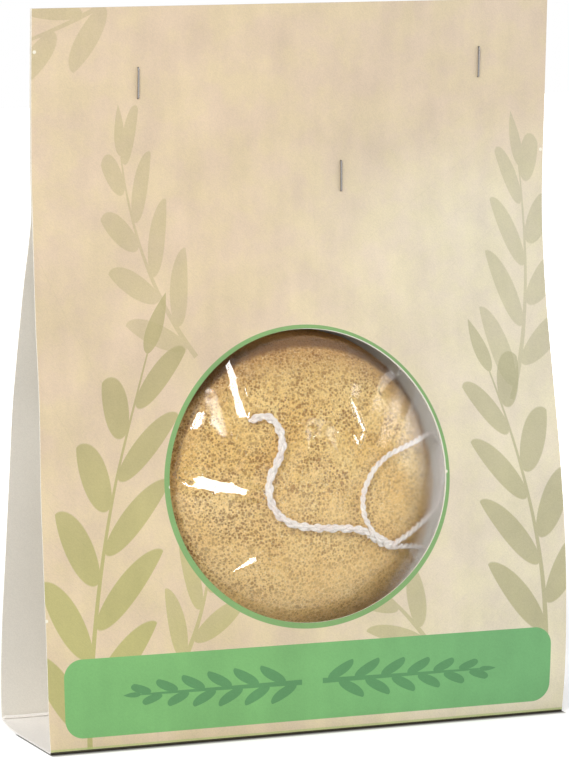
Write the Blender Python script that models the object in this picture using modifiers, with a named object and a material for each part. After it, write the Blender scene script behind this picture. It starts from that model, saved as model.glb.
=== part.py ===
"""A round cleansing sponge in a film pouch, stapled into a folded display card.

The card is one strip, creased twice: a front panel with a round window, a base and a back panel.
The tops of front and back lie flat together as a header, and three staples close it over the
pouch, which hangs inside with the sponge's dome in the window.
Metres, +Z up, the window faces -Y, and the origin is under the middle of the stand.
"""
import math

import bmesh
import bpy
import numpy as np
from mathutils import Matrix, Vector

for old in list(bpy.data.objects):
    bpy.data.objects.remove(old, do_unlink=True)

# Card
card_width = 0.150
card_height = 0.1985
card_thickness = 0.00045
rear_lift = 0.0016
crease_gap = 0.0001
window_radius = 0.0398
window_height = 0.0702
window_right = 0.0008
fold_above_window = 0.0335
tent_room = 0.0195

# Film pouch
film_thickness = 0.00015
film_gap = 0.0001
header_gap = 0.00015
pouch_side = 0.017
pouch_bottom = 0.0115
pouch_top_margin = 0.009
film_cone = 0.011
film_room = 0.0036
film_back_room = 0.0005
sway_gap = 0.0016
fold_gap = 0.0002

# Sponge
sponge_radius = 0.041
sponge_thickness = 0.0235
sponge_right = 0.001
sponge_drop = 0.0045
dome_share = 0.68

# Cord
stem_diameter = 0.0024
strand_diameter = 0.0016
knot_diameter = 0.0027
cord_gap = 0.0003
cord_hole_depth = 0.014
cord_dimple_radius = 0.0040
cord_dimple_depth = 0.0015
route_step = 0.0036
knot_step = 0.0016

# Staples
staple_crown = 0.0087
staple_wire = 0.0005
staple_bend = 0.0003
staple_clinch = 0.0037
staple_seat = 0.00012
staple_clearance = 0.00012

# Fineness of the modelled surfaces
cut_overrun = 0.004
row_step = 0.008
film_step = 0.0054
merge_distance = 0.00002
window_segments = 72
sponge_segments = 48
profile_steps = 10
base_steps = 20
bead_steps = 8
bend_steps = 3

# Places of the staples: share of half the width, share of the header's height down from the top
staple_shares = {
    "staple_left": (-0.6, 0.371),
    "staple_right": (0.727, 0.311),
    "staple_centre": (0.187, 0.86),
}

# Shapes as shares of the sizes above: (height share, depth share).
# The first two run from 0 at the crease to 1 at the fold under the header, and to 2 at the top.
front_shares = [
    (0.0, 0.0), (0.18, -0.009), (0.332, 0.016), (0.488, 0.07), (0.649, 0.128),
    (0.801, 0.207), (0.954, 0.249), (1.08, 0.2535), (1.52, 0.23), (2.0, 0.188),
]
twist_shares = [
    (0.0, 0.0), (0.055, -0.03), (0.18, -0.06), (0.332, -0.074), (0.488, -0.056), (0.649, -0.002),
    (0.801, 0.026), (0.954, 0.042), (1.08, 0.035), (1.52, 0.019), (2.0, 0.016),
]
spread_shares = [
    (0.0, 1.0), (0.056, 1.019), (0.181, 0.986), (0.334, 0.857), (0.488, 0.695), (0.648, 0.521),
    (0.725, 0.395), (0.80, 0.266), (0.878, 0.154), (0.955, 0.05), (1.0, 0.0),
]
film_front_shares = [
    (0.0, 1.0), (0.2, 0.985), (0.385, 0.93), (0.577, 0.79), (0.673, 0.67),
    (0.77, 0.485), (0.87, 0.26), (0.955, 0.07), (1.0, 0.0),
]
film_back_shares = [
    (0.0, 1.0), (0.5, 1.0), (0.6, 0.975), (0.7, 0.84), (0.79, 0.56), (0.9, 0.2), (1.0, 0.0),
]
base_flat_share = 0.6
base_lift_power = 3.0
twist_fade_share = 0.8
pouch_fold_share = 0.8
hole_shares = (1.0, 0.66, 0.36, 0.15)
dome_power = 2.6
back_power = 5.0

# The soft rim's outline: degrees round from the right, upwards, and the share of the sponge's radius
rim_shares = [
    (0, 1.01), (20, 1.0), (50, 1.01), (75, 1.04), (92, 1.05), (110, 1.045), (140, 1.02), (180, 1.0),
    (230, 1.0), (270, 1.005), (298, 1.025), (314, 1.045), (324, 1.04), (336, 1.005), (346, 1.0), (360, 1.01),
]

# Routes of the cord from the middle of the sponge's widest circle: right, out to the front, up
hole_direction = (0.60, 0.72, 0.35)
stem_route = [
    (-0.0150, 0.0134, 0.0212), (-0.0132, 0.0150, 0.0218), (-0.0111, 0.0156, 0.0205),
    (-0.0093, 0.0163, 0.0172), (-0.0091, 0.0168, 0.0129), (-0.0109, 0.0170, 0.0087),
    (-0.0127, 0.0170, 0.0050), (-0.0130, 0.0171, 0.0010),
    (-0.0122, 0.0171, -0.0024), (-0.0101, 0.0172, -0.0054), (-0.0066, 0.0173, -0.0077),
    (-0.0015, 0.0174, -0.0090), (0.0039, 0.0173, -0.0096), (0.0099, 0.0171, -0.0101),
    (0.0140, 0.0168, -0.0109), (0.0160, 0.0164, -0.0119),
]
knot_route = [
    (0.0164, 0.0164, -0.0121), (0.0183, 0.0159, -0.0132), (0.0205, 0.0153, -0.0145),
    (0.0228, 0.0146, -0.0156), (0.0247, 0.0138, -0.0163),
]
loop_route = [
    (0.0166, 0.0160, -0.0100), (0.0152, 0.0165, -0.0074), (0.0145, 0.0166, -0.0024),
    (0.0155, 0.0165, 0.0014), (0.0181, 0.0161, 0.0056), (0.0220, 0.0152, 0.0087),
    (0.0276, 0.0134, 0.0107), (0.0329, 0.0107, 0.0120), (0.0374, 0.0070, 0.0129),
    (0.0412, 0.0030, 0.0122), (0.0432, 0.0010, 0.0095), (0.0443, 0.0005, 0.0048),
    (0.0444, 0.0006, -0.0006), (0.0431, 0.0018, -0.0053), (0.0400, 0.0052, -0.0086),
    (0.0352, 0.0096, -0.0107), (0.0300, 0.0121, -0.0134), (0.0265, 0.0134, -0.0149),
]
tail_route = [
    (0.0264, 0.0131, -0.0166), (0.0285, 0.0121, -0.0168), (0.0327, 0.0094, -0.0175),
    (0.0368, 0.0060, -0.0188), (0.0398, 0.0024, -0.0212), (0.0398, 0.0008, -0.0242),
    (0.0375, 0.0008, -0.0275), (0.0342, 0.0008, -0.0312),
]

# Sizes that follow
half_width = card_width / 2
half_card = card_thickness / 2
base_depth = sponge_thickness + tent_room
fold_height = window_height + window_radius + fold_above_window
header_height = card_height - fold_height
header_pitch = card_thickness + 2 * header_gap + 2 * film_thickness
front_crease_z = half_card
rear_crease_z = rear_lift + half_card
sponge_z = window_height - sponge_drop
dome_height = sponge_thickness * dome_share
sponge_back = sponge_thickness - dome_height
film_reach = sponge_radius + film_cone
pouch_half = sponge_radius + pouch_side
pouch_low = sponge_z - sponge_radius - pouch_bottom


def along(table, place):
    """Smooth curve through a table's points, read at one place."""
    places, values = np.array(table, float).T
    slopes = np.gradient(values, places)
    left = int(np.clip(np.searchsorted(places, place) - 1, 0, len(places) - 2))
    span = places[left + 1] - places[left]
    t = (np.clip(place, places[0], places[-1]) - places[left]) / span
    start = (1 + 2 * t) * (1 - t) ** 2 * values[left] + t * (1 - t) ** 2 * span * slopes[left]
    end = t * t * (3 - 2 * t) * values[left + 1] + t * t * (t - 1) * span * slopes[left + 1]
    return float(start + end)


def eased(place, low, high):
    """0 below low, 1 above high, and smooth between."""
    t = min(max((place - low) / (high - low), 0.0), 1.0)
    return t * t * (3 - 2 * t)


def height_share(z):
    """0 at the front crease, 1 at the fold under the header, 2 at the card's top."""
    return z / fold_height if z < fold_height else 1 + (z - fold_height) / header_height


def front_y(x, z):
    """Middle of the front panel's card, which bows out over the sponge, more on its right."""
    share = height_share(z)
    return base_depth * (along(front_shares, share) + along(twist_shares, share) * x / half_width)


def back_y(x, z):
    """Middle of the back panel's card: on the header it follows the front, below it spreads."""
    share = height_share(z)
    held = eased(z, fold_height * twist_fade_share, fold_height)
    mean = base_depth * along(front_shares, share)
    twist = base_depth * along(twist_shares, share) * x / half_width
    spread = along(spread_shares, z / fold_height) if z < fold_height else 0.0
    return mean + twist * held + header_pitch + (base_depth - header_pitch) * spread


def header_film_y(x, z):
    """Middle of the pouch's flat top, between the two header cards."""
    return (front_y(x, z) + back_y(x, z)) / 2


def film_bulge(shares, height, x, z):
    reach = math.hypot(x - sponge_right, z - sponge_z) / film_reach
    return height * along(shares, reach) if reach < 1 else 0.0


def pouch_middle(x, z):
    """Where the pouch's two films meet: plumb beside the sponge, then drawn into the header."""
    drawn = eased(z, sponge_z + sponge_radius * pouch_fold_share, fold_height)
    return (1 - drawn) * sponge_y + drawn * header_film_y(x, z)


def front_film_y(x, z):
    bulge = film_bulge(film_front_shares, dome_height + film_room, x, z)
    return pouch_middle(x, z) - bulge - (film_gap + film_thickness) / 2


def back_film_y(x, z):
    bulge = film_bulge(film_back_shares, sponge_back + film_back_room, x, z)
    return pouch_middle(x, z) + bulge + (film_gap + film_thickness) / 2


def seated_sponge_y():
    """Depth of the sponge's widest circle, so that its back film nearly meets the back panel."""
    rooms = []
    for share in np.linspace(0, 1, window_segments):
        z = sponge_z + sponge_radius * share
        bulge = film_bulge(film_back_shares, sponge_back + film_back_room, sponge_right, z)
        stack = bulge + film_gap / 2 + film_thickness + half_card + sway_gap
        rooms.append(back_y(0, z) - stack)
    return min(rooms)


def levels(stops, step):
    """Heights through every stop, evenly spaced between two stops."""
    found = [stops[0]]
    for low, high in zip(stops, stops[1:]):
        count = max(1, round((high - low) / step))
        found += [low + (high - low) * i / count for i in range(1, count + 1)]
    return found


sponge_y = seated_sponge_y()
front_levels = levels([front_crease_z + half_card + crease_gap, fold_height, card_height], row_step)
back_levels = levels([rear_crease_z + half_card + crease_gap, fold_height, card_height], row_step)
front_most = min(front_y(side, z) for z in front_levels for side in (-half_width, half_width))
rear_most = max(back_y(side, z) for z in back_levels for side in (-half_width, half_width))
origin_y = (front_most + rear_most) / 2
sponge_centre = Vector((sponge_right, sponge_y - origin_y, sponge_z))

parts = bpy.data.collections.new("sponge_in_display_card")
cutters = bpy.data.collections.new("cutters")
bpy.context.scene.collection.children.link(parts)
bpy.context.scene.collection.children.link(cutters)


def material(name, colour, roughness, metallic=0.0, alpha=1.0):
    made = bpy.data.materials.new(name)
    made.use_nodes = True
    shader = made.node_tree.nodes["Principled BSDF"]
    shader.inputs["Base Color"].default_value = (*colour, 1.0)
    shader.inputs["Roughness"].default_value = roughness
    shader.inputs["Metallic"].default_value = metallic
    shader.inputs["Alpha"].default_value = alpha
    return made


def finish(obj, colour, roughness, metallic=0.0, alpha=1.0, smooth=True):
    """Put a piece in the parts collection with a material of its own."""
    parts.objects.link(obj)
    obj.data.materials.append(material(obj.name, colour, roughness, metallic, alpha))
    if smooth:
        obj.data.shade_smooth()
        obj.data.set_sharp_from_angle(angle=math.radians(35))
    return obj


def cutter(name, bm):
    mesh = bpy.data.meshes.new(name)
    bm.to_mesh(mesh)
    bm.free()
    made = bpy.data.objects.new(name, mesh)
    cutters.objects.link(made)
    made.hide_render = True
    made.display_type = "WIRE"
    return made


def cut(obj, tool):
    change = obj.modifiers.new(tool.name, "BOOLEAN")
    change.operation = "DIFFERENCE"
    change.solver = "EXACT"
    change.object = tool


def sheet(name, surface, centre, half, heights, columns, thickness):
    """A bent sheet: a grid laid on a surface, then thickened both ways."""
    bm = bmesh.new()
    rows = len(heights) - 1
    bmesh.ops.create_grid(bm, x_segments=columns, y_segments=rows, size=1)
    for vert in bm.verts:
        x = centre + vert.co.x * half
        z = heights[round((vert.co.y + 1) / 2 * rows)]
        vert.co = (x, surface(x, z) - origin_y, z)
    mesh = bpy.data.meshes.new(name)
    bm.to_mesh(mesh)
    bm.free()
    made = bpy.data.objects.new(name, mesh)
    thick = made.modifiers.new("thickness", "SOLIDIFY")
    thick.thickness = thickness
    thick.offset = 0
    thick.use_even_offset = True
    return made


def curve_object(name, points, dimensions="3D", cyclic=False):
    data = bpy.data.curves.new(name, "CURVE")
    data.dimensions = dimensions
    spline = data.splines.new("POLY")
    spline.points.add(len(points) - 1)
    for point, place in zip(spline.points, points):
        point.co = (*place, 1.0)
    spline.use_cyclic_u = cyclic
    return bpy.data.objects.new(name, data)


def meshed(curve):
    """The curve object as a mesh object, with its caps welded on."""
    parts.objects.link(curve)
    bpy.context.view_layer.update()
    graph = bpy.context.evaluated_depsgraph_get()
    mesh = bpy.data.meshes.new_from_object(curve.evaluated_get(graph))
    bm = bmesh.new()
    bm.from_mesh(mesh)
    bmesh.ops.remove_doubles(bm, verts=bm.verts, dist=merge_distance)
    bmesh.ops.recalc_face_normals(bm, faces=bm.faces)
    bm.to_mesh(mesh)
    bm.free()
    name = curve.name
    world = curve.matrix_world.copy()
    bpy.data.objects.remove(curve, do_unlink=True)
    made = bpy.data.objects.new(name, mesh)
    made.matrix_world = world
    return made


def tube(name, points, diameter, resolution=2):
    curve = curve_object(name, points)
    curve.data.bevel_depth = diameter / 2
    curve.data.bevel_resolution = resolution
    curve.data.use_fill_caps = True
    return meshed(curve)


def smooth_route(points, step):
    """Evenly spaced points on one smooth curve through a route's own points."""
    spots = np.array(points, float)
    lengths = np.concatenate(([0.0], np.cumsum(np.linalg.norm(np.diff(spots, axis=0), axis=1))))
    count = max(2, round(lengths[-1] / step))
    shares = np.linspace(0, lengths[-1], count + 1)
    return [tuple(along(np.column_stack((lengths, spots[:, i])), at) for i in range(3)) for at in shares]


def on_sponge(route):
    """A route given from the sponge's widest circle, in the part's frame."""
    return [tuple(sponge_centre + Vector((right, -out, up))) for right, out, up in route]


def route_length(points):
    return float(np.linalg.norm(np.diff(np.array(points), axis=0), axis=1).sum())


def header_frame(x, z):
    """Frame on the front header's card: +X along the crown, +Z straight into the card."""
    rise = staple_crown / 2
    slope = Vector((0, front_y(x, z + rise) - front_y(x, z - rise), staple_crown)).normalized()
    inward = slope.cross(Vector((1, 0, 0)))
    side = inward.cross(slope)
    frame = Matrix((slope, side, inward)).transposed().to_4x4()
    frame.translation = Vector((x, front_y(x, z) - origin_y, z))
    return frame


def rounded(corners, radius, steps):
    """A flat line through its corners, each inner corner turned as an arc."""
    line = [corners[0]]
    for before, corner, after in zip(corners, corners[1:], corners[2:]):
        here = Vector(corner)
        arrive = (here - Vector(before)).normalized()
        leave = (Vector(after) - here).normalized()
        middle = here - arrive * radius + leave * radius
        for i in range(steps + 1):
            turn = math.pi / 2 * i / steps
            line.append(tuple(middle - leave * radius * math.cos(turn) + arrive * radius * math.sin(turn)))
    return line + [corners[-1]]


def staple_depths():
    """Depths of the crown's and the clinched ends' wire centres, from the front card's middle."""
    reach = half_card + staple_seat + staple_wire / 2
    return -reach, header_pitch + reach


def add_staple(name, x, z):
    """A staple whose legs pass through both header cards and fold in behind them."""
    crown_depth, clinch_depth = staple_depths()
    leg = (staple_crown - staple_wire) / 2
    tip = leg - staple_clinch
    corners = [
        (-tip, 0, clinch_depth), (-leg, 0, clinch_depth), (-leg, 0, crown_depth),
        (leg, 0, crown_depth), (leg, 0, clinch_depth), (tip, 0, clinch_depth),
    ]
    line = rounded(corners, staple_bend, bend_steps)
    frame = header_frame(x, z)
    wire = tube(name, [tuple(frame @ Vector(point)) for point in line], staple_wire)
    return finish(wire, (0.62, 0.62, 0.63), 0.3, metallic=1.0)


def leg_holes(places):
    """Boxes where the staples' legs pass through the header."""
    leg = (staple_crown - staple_wire) / 2
    side = staple_wire + 2 * staple_clearance
    bm = bmesh.new()
    for x, z in places:
        frame = header_frame(x, z)
        for offset in (-leg, leg):
            shape = Matrix.Translation((offset, 0, header_pitch / 2)) @ Matrix.Diagonal(
                (side, side, header_pitch + 2 * cut_overrun, 1.0))
            bmesh.ops.create_cube(bm, size=1, matrix=frame @ shape)
    return cutter("staple_holes", bm)


def add_card(staple_places):
    """The card's three panels: the front with its window, the base with its creases, the back."""
    columns = max(1, round(card_width / row_step / 2))
    white = (0.86, 0.83, 0.79)
    front = finish(sheet("front_panel", front_y, 0, half_width, front_levels, columns,
                         card_thickness), (0.76, 0.63, 0.42), 0.45)
    back = finish(sheet("back_panel", back_y, 0, half_width, back_levels, columns,
                        card_thickness), white, 0.5)
    bm = bmesh.new()
    depth = base_depth + cut_overrun
    bmesh.ops.create_cone(bm, cap_ends=True, segments=window_segments, radius1=window_radius,
                          radius2=window_radius, depth=depth)
    window = cutter("window_cut", bm)
    window.location = (window_right, front_y(window_right, window_height) - origin_y, window_height)
    window.rotation_euler = (math.radians(90), 0, 0)
    holes = leg_holes(staple_places)
    cut(front, window)
    cut(front, holes)
    cut(back, holes)

    # The base's outline: flat on the table, lifting to the rear crease, with a round bead at each crease
    rear = back_y(0, rear_crease_z)
    rise = rear_crease_z - front_crease_z
    stations = [i / base_steps for i in range(base_steps + 1)]
    lifts = [max(0.0, share - base_flat_share) / (1 - base_flat_share) for share in stations]
    middle = [(rear * share, front_crease_z + rise * lift ** base_lift_power)
              for share, lift in zip(stations, lifts)]
    lean = math.atan2(middle[-1][1] - middle[-2][1], middle[-1][0] - middle[-2][0])
    bead = [math.pi * i / bead_steps for i in range(bead_steps + 1)]
    outline = [(-half_card * math.sin(turn), front_crease_z + half_card * math.cos(turn)) for turn in bead]
    outline += [(y, z - half_card) for y, z in middle[1:-1]]
    outline += [(rear + half_card * math.sin(turn + lean), rear_crease_z - half_card * math.cos(turn + lean))
                for turn in bead]
    outline += [(y, z + half_card) for y, z in reversed(middle[1:-1])]
    base = curve_object("base_panel", [(y - origin_y, z, 0) for y, z in outline], "2D", cyclic=True)
    base.data.fill_mode = "BOTH"
    base.data.extrude = half_width
    base.rotation_euler = (math.radians(90), 0, math.radians(90))
    finish(meshed(base), white, 0.5)


def add_pouch(staple_places):
    """The clear film pouch: its flat top in the header, and a front and a back film round the sponge."""
    clear = (0.86, 0.87, 0.87)
    top = finish(sheet("pouch_header", header_film_y, sponge_right, pouch_half,
                       levels([fold_height, card_height - pouch_top_margin], row_step),
                       round(pouch_half * 2 / row_step), 2 * film_thickness), clear, 0.08, alpha=0.3)
    cut(top, leg_holes(staple_places))
    heights = levels([pouch_low, fold_height - fold_gap], film_step)
    columns = round(pouch_half * 2 / film_step)
    for name, surface in (("pouch_front_film", front_film_y), ("pouch_back_film", back_film_y)):
        film = sheet(name, surface, sponge_right, pouch_half, heights, columns, film_thickness)
        finish(film, clear, 0.08, alpha=0.3)


def add_sponge():
    """The sponge: a low dome with a soft, uneven rim, and the cord's hole pierced in at a slant."""
    shares = [math.sin(math.pi / 2 * i / profile_steps) for i in range(profile_steps + 1)]
    profile = [(sponge_radius * share, dome_height * math.sqrt(1 - share ** dome_power)) for share in shares]
    profile += [(sponge_radius * share, -sponge_back * math.sqrt(1 - share ** back_power))
                for share in reversed(shares[:-1])]
    mesh = bpy.data.meshes.new("sponge")
    bm = bmesh.new()
    turns = [2 * math.pi * i / sponge_segments for i in range(sponge_segments)]
    rims = [along(rim_shares, math.degrees(turn)) for turn in turns]
    rings = [[bm.verts.new((radius * rim * math.cos(turn), radius * rim * math.sin(turn), height))
              for turn, rim in zip(turns, rims)] for radius, height in profile]
    for upper, lower in zip(rings, rings[1:]):
        for i, vert in enumerate(upper):
            bm.faces.new((vert, lower[i], lower[(i + 1) % sponge_segments], upper[(i + 1) % sponge_segments]))
    bmesh.ops.remove_doubles(bm, verts=bm.verts, dist=merge_distance)
    bmesh.ops.recalc_face_normals(bm, faces=bm.faces)
    bm.to_mesh(mesh)
    bm.free()
    sponge = bpy.data.objects.new("sponge", mesh)
    sponge.location = sponge_centre
    sponge.rotation_euler = (math.radians(90), 0, 0)
    right, out, up = hole_direction
    direction = Vector((right, -out, up)).normalized()
    mouth = Vector(on_sponge(stem_route[:1])[0])
    bm = bmesh.new()
    bmesh.ops.create_cone(bm, cap_ends=True, segments=16, radius1=stem_diameter / 2 + cord_gap,
                          radius2=stem_diameter / 2 + cord_gap, depth=cord_hole_depth + cut_overrun)
    hole = cutter("cord_hole", bm)
    hole.rotation_euler = direction.to_track_quat("Z", "Y").to_euler()
    hole.location = mouth - direction * (cord_hole_depth - cut_overrun) / 2
    bm = bmesh.new()
    bmesh.ops.create_uvsphere(bm, u_segments=16, v_segments=10, radius=cord_dimple_radius)
    dimple = cutter("cord_dimple", bm)
    dimple.location = mouth + Vector((0, -1, 0)) * (cord_dimple_radius - cord_dimple_depth)
    cut(sponge, hole)
    cut(sponge, dimple)
    finish(sponge, (0.70, 0.49, 0.22), 0.9)


def add_cord():
    """The cotton cord: a twisted stem out of the sponge, its knot, a loop and one free end."""
    cotton = (0.88, 0.86, 0.84)
    norm = math.hypot(*hole_direction)
    inner = cord_hole_depth - cord_gap
    sunk = [tuple(place - inner * share * part / norm for place, part in zip(stem_route[0], hole_direction))
            for share in hole_shares]
    routes = (("cord_stem", sunk + stem_route, stem_diameter, route_step),
              ("cord_knot", knot_route, knot_diameter, knot_step),
              ("cord_loop", loop_route, strand_diameter, route_step),
              ("cord_tail", tail_route, strand_diameter, route_step))
    for name, route, diameter, step in routes:
        line = smooth_route(on_sponge(route), step)
        print(name, "length", round(route_length(line), 4))
        finish(tube(name, line, diameter), cotton, 0.85)


def build():
    places = {name: (side * half_width, card_height - down * header_height)
              for name, (side, down) in staple_shares.items()}
    add_card(places.values())
    add_pouch(places.values())
    add_sponge()
    add_cord()
    for name, (x, z) in places.items():
        add_staple(name, x, z)
    bpy.context.view_layer.update()
    print("front crease", round(-origin_y, 5), round(front_crease_z, 5))
    print("rear crease", round(back_y(0, rear_crease_z) - origin_y, 5), round(rear_crease_z, 5))
    print("pouch fold", round(header_film_y(0, fold_height) - origin_y, 5), round(fold_height, 5))
    print("sponge", tuple(round(value, 5) for value in sponge_centre))


build()
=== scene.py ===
# %% [markdown]
# A round face sponge sold in a clear film pouch, stapled into a folded display card.
# The packed model is the measured frame: every piece below is drawn in its metres, so a piece
# goes where the frame says and needs no fitting afterwards.

# %% Open the packed frame
import math

import bmesh
import bpy
import numpy as np
from mathutils import Matrix, Vector, noise


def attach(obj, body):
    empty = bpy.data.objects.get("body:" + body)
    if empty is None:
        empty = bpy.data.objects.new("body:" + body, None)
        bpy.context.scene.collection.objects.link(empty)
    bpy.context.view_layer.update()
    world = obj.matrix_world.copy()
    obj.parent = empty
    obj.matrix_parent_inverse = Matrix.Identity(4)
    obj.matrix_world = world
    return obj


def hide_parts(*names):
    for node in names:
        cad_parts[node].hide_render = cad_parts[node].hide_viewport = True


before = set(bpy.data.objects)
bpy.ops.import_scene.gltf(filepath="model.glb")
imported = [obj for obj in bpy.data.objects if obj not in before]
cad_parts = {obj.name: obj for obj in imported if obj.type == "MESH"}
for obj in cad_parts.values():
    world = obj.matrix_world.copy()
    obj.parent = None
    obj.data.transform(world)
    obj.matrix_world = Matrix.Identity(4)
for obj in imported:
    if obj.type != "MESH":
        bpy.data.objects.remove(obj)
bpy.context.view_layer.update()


def new_object(name, data):
    made = bpy.data.objects.new(name, data)
    bpy.context.scene.collection.objects.link(made)
    return made


# %% [markdown]
# The camera stands a little to the left of the card and slightly above its middle, over a metre away.
# A long lens keeps the card's edges nearly parallel. The frame is portrait, so the sensor width
# counts for its long side, and a small shift puts the card where the photograph has it.

# %% Camera
focus_pixels, picture_height, shift_pixels, sensor_width = 4292.7, 760, -50, 36
yaw, pitch, roll = 0.3704, 0.1065, -0.0084
camera_spot = (-0.42402, -1.09396, 0.23399)
ahead = Vector((math.sin(yaw) * math.cos(pitch), math.cos(yaw) * math.cos(pitch), -math.sin(pitch)))
level = Vector((math.cos(yaw), -math.sin(yaw), 0))
above = level.cross(ahead)
across = level * math.cos(roll) + above * math.sin(roll)
above = above * math.cos(roll) - level * math.sin(roll)

lens = bpy.data.cameras.new("camera")
lens.sensor_fit = "AUTO"
lens.sensor_width = sensor_width
lens.lens = focus_pixels * sensor_width / picture_height
lens.shift_y = shift_pixels / picture_height
camera = new_object("camera", lens)
facing = Matrix((across, above, -ahead)).transposed().to_4x4()
camera.matrix_world = Matrix.Translation(camera_spot) @ facing
bpy.context.scene.camera = camera
print("lens", round(lens.lens, 1), "mm")

# %% [markdown]
# The same few named sizes shape the packed solids and the pieces drawn here. Each depth is a smooth
# curve through a short table: shares of the height against shares of the base's depth.

# %% Sizes of the card, pouch and sponge
half_width, card_height, card_thickness = 0.075, 0.1985, 0.00045
base_depth, fold_height, header_height, header_pitch = 0.043, 0.1435, 0.055, 0.00105
window_right, window_height, window_radius = 0.0008, 0.0702, 0.0398
origin_y = 0.02027
crease_low, rear_crease_low = 0.00055, 0.00215
sponge_right, sponge_depth, sponge_height = 0.001, -0.00355, 0.0657
sponge_radius, dome_height, sponge_back = 0.041, 0.01598, 0.00752
rim_shares = [
    (0, 1.015), (20, 1.01), (50, 1.04), (75, 1.062), (92, 1.07), (110, 1.06), (140, 1.03), (180, 1),
    (230, 1), (270, 1.005), (298, 1.025), (314, 1.045), (324, 1.04), (336, 1.03), (346, 1.02), (360, 1.015),
]
film_reach, film_room, film_back_room = 0.052, 0.0036, 0.0005
pouch_half, pouch_low, pouch_high = 0.058, 0.0132, 0.1433
film_gap, film_thickness = 0.0001, 0.00015
sponge_centre = Vector((sponge_right, sponge_depth, sponge_height))

front_shares = [
    (0, 0), (0.18, -0.009), (0.332, 0.016), (0.488, 0.07), (0.649, 0.128),
    (0.801, 0.207), (0.954, 0.249), (1.08, 0.2535), (1.52, 0.23), (2, 0.188),
]
twist_shares = [
    (0, 0), (0.055, -0.03), (0.18, -0.06), (0.332, -0.074), (0.488, -0.056), (0.649, -0.002),
    (0.801, 0.026), (0.954, 0.042), (1.08, 0.035), (1.52, 0.019), (2, 0.016),
]
spread_shares = [
    (0, 1), (0.056, 1.019), (0.181, 0.986), (0.334, 0.857), (0.488, 0.695), (0.648, 0.521),
    (0.725, 0.395), (0.8, 0.266), (0.878, 0.154), (0.955, 0.05), (1, 0),
]
film_front_shares = [
    (0, 1), (0.2, 0.985), (0.385, 0.93), (0.577, 0.79), (0.673, 0.67),
    (0.77, 0.485), (0.87, 0.26), (0.955, 0.07), (1, 0),
]
film_back_shares = [
    (0, 1), (0.5, 1), (0.6, 0.975), (0.7, 0.84), (0.79, 0.56), (0.9, 0.2), (1, 0),
]


# %% Smooth curves through a table
def along(table, place):
    """A smooth curve through a table's points, read at many places at once."""
    places, values = np.array(table, float).T
    slopes = np.gradient(values, places)
    place = np.clip(np.asarray(place, float), places[0], places[-1])
    left = np.clip(np.searchsorted(places, place) - 1, 0, len(places) - 2)
    span = places[left + 1] - places[left]
    t = (place - places[left]) / span
    start = (1 + 2 * t) * (1 - t) ** 2 * values[left] + t * (1 - t) ** 2 * span * slopes[left]
    end = t * t * (3 - 2 * t) * values[left + 1] + t * t * (t - 1) * span * slopes[left + 1]
    return start + end


def eased(place, low, high):
    """0 below low, 1 above high, and smooth between."""
    t = np.clip((place - low) / (high - low), 0, 1)
    return t * t * (3 - 2 * t)


# %% Surfaces of the card and of the pouch
def height_share(z):
    return np.where(z < fold_height, z / fold_height, 1 + (z - fold_height) / header_height)


def front_y(x, z):
    """Middle of the front panel's card: it bows out over the sponge, more on its right."""
    share = height_share(z)
    return base_depth * (along(front_shares, share) + along(twist_shares, share) * x / half_width) - origin_y


def back_y(x, z):
    """Middle of the back panel's card: on the header it follows the front, below it spreads."""
    share = height_share(z)
    upper = eased(z, 0.8 * fold_height, fold_height)
    twist = base_depth * along(twist_shares, share) * x / half_width * upper
    spread = np.where(z < fold_height, along(spread_shares, z / fold_height), 0)
    return (base_depth * along(front_shares, share) + twist + header_pitch
            + (base_depth - header_pitch) * spread - origin_y)


def pouch_reach(x, z):
    return np.hypot(x - sponge_right, z - sponge_height) / film_reach


def pouch_middle(x, z):
    """Where the two films meet: plumb beside the sponge, then drawn up into the header."""
    drawn = eased(z, sponge_height + 0.8 * sponge_radius, fold_height)
    return (1 - drawn) * sponge_depth + drawn * (front_y(x, z) + back_y(x, z)) / 2


def front_film_y(x, z):
    bulge = (dome_height + film_room) * along(film_front_shares, pouch_reach(x, z))
    return pouch_middle(x, z) - bulge - (film_gap + film_thickness) / 2


def back_film_y(x, z):
    bulge = (sponge_back + film_back_room) * along(film_back_shares, pouch_reach(x, z))
    return pouch_middle(x, z) + bulge + (film_gap + film_thickness) / 2


print("front card at the window", front_y(0, window_height).round(4))

# %% [markdown]
# A hanging cord of soft cotton: two strands twisted together come out of the sponge, meet in a knot,
# and one of them goes on as a loop while the other ends cut off. Real cord is plied, and its edge and
# shading come from that, so each ply is a thin tube that winds round its strand, and each strand winds
# round the cord's own line. A bump on one plain tube would leave a straight outline.

# %% Lines that a cord follows
hole_direction, hole_depth = (0.6, 0.72, 0.35), 0.0137
stem_route = [
    (-0.015, 0.0134, 0.0212), (-0.0132, 0.015, 0.0218), (-0.0111, 0.0156, 0.0205),
    (-0.0093, 0.0163, 0.0172), (-0.0091, 0.0168, 0.0129), (-0.0109, 0.017, 0.0087),
    (-0.0127, 0.017, 0.005), (-0.013, 0.0171, 0.001), (-0.0122, 0.0171, -0.0024),
    (-0.0101, 0.0172, -0.0054), (-0.0066, 0.0173, -0.0077), (-0.0015, 0.0174, -0.009),
    (0.0039, 0.0173, -0.0096), (0.0099, 0.0171, -0.0101), (0.014, 0.0168, -0.0109),
    (0.016, 0.0164, -0.0119),
]
knot_route = [
    (0.0164, 0.0164, -0.0121), (0.0183, 0.0159, -0.0132), (0.0205, 0.0153, -0.0145),
    (0.0228, 0.0146, -0.0156), (0.0247, 0.0138, -0.0163),
]
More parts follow.
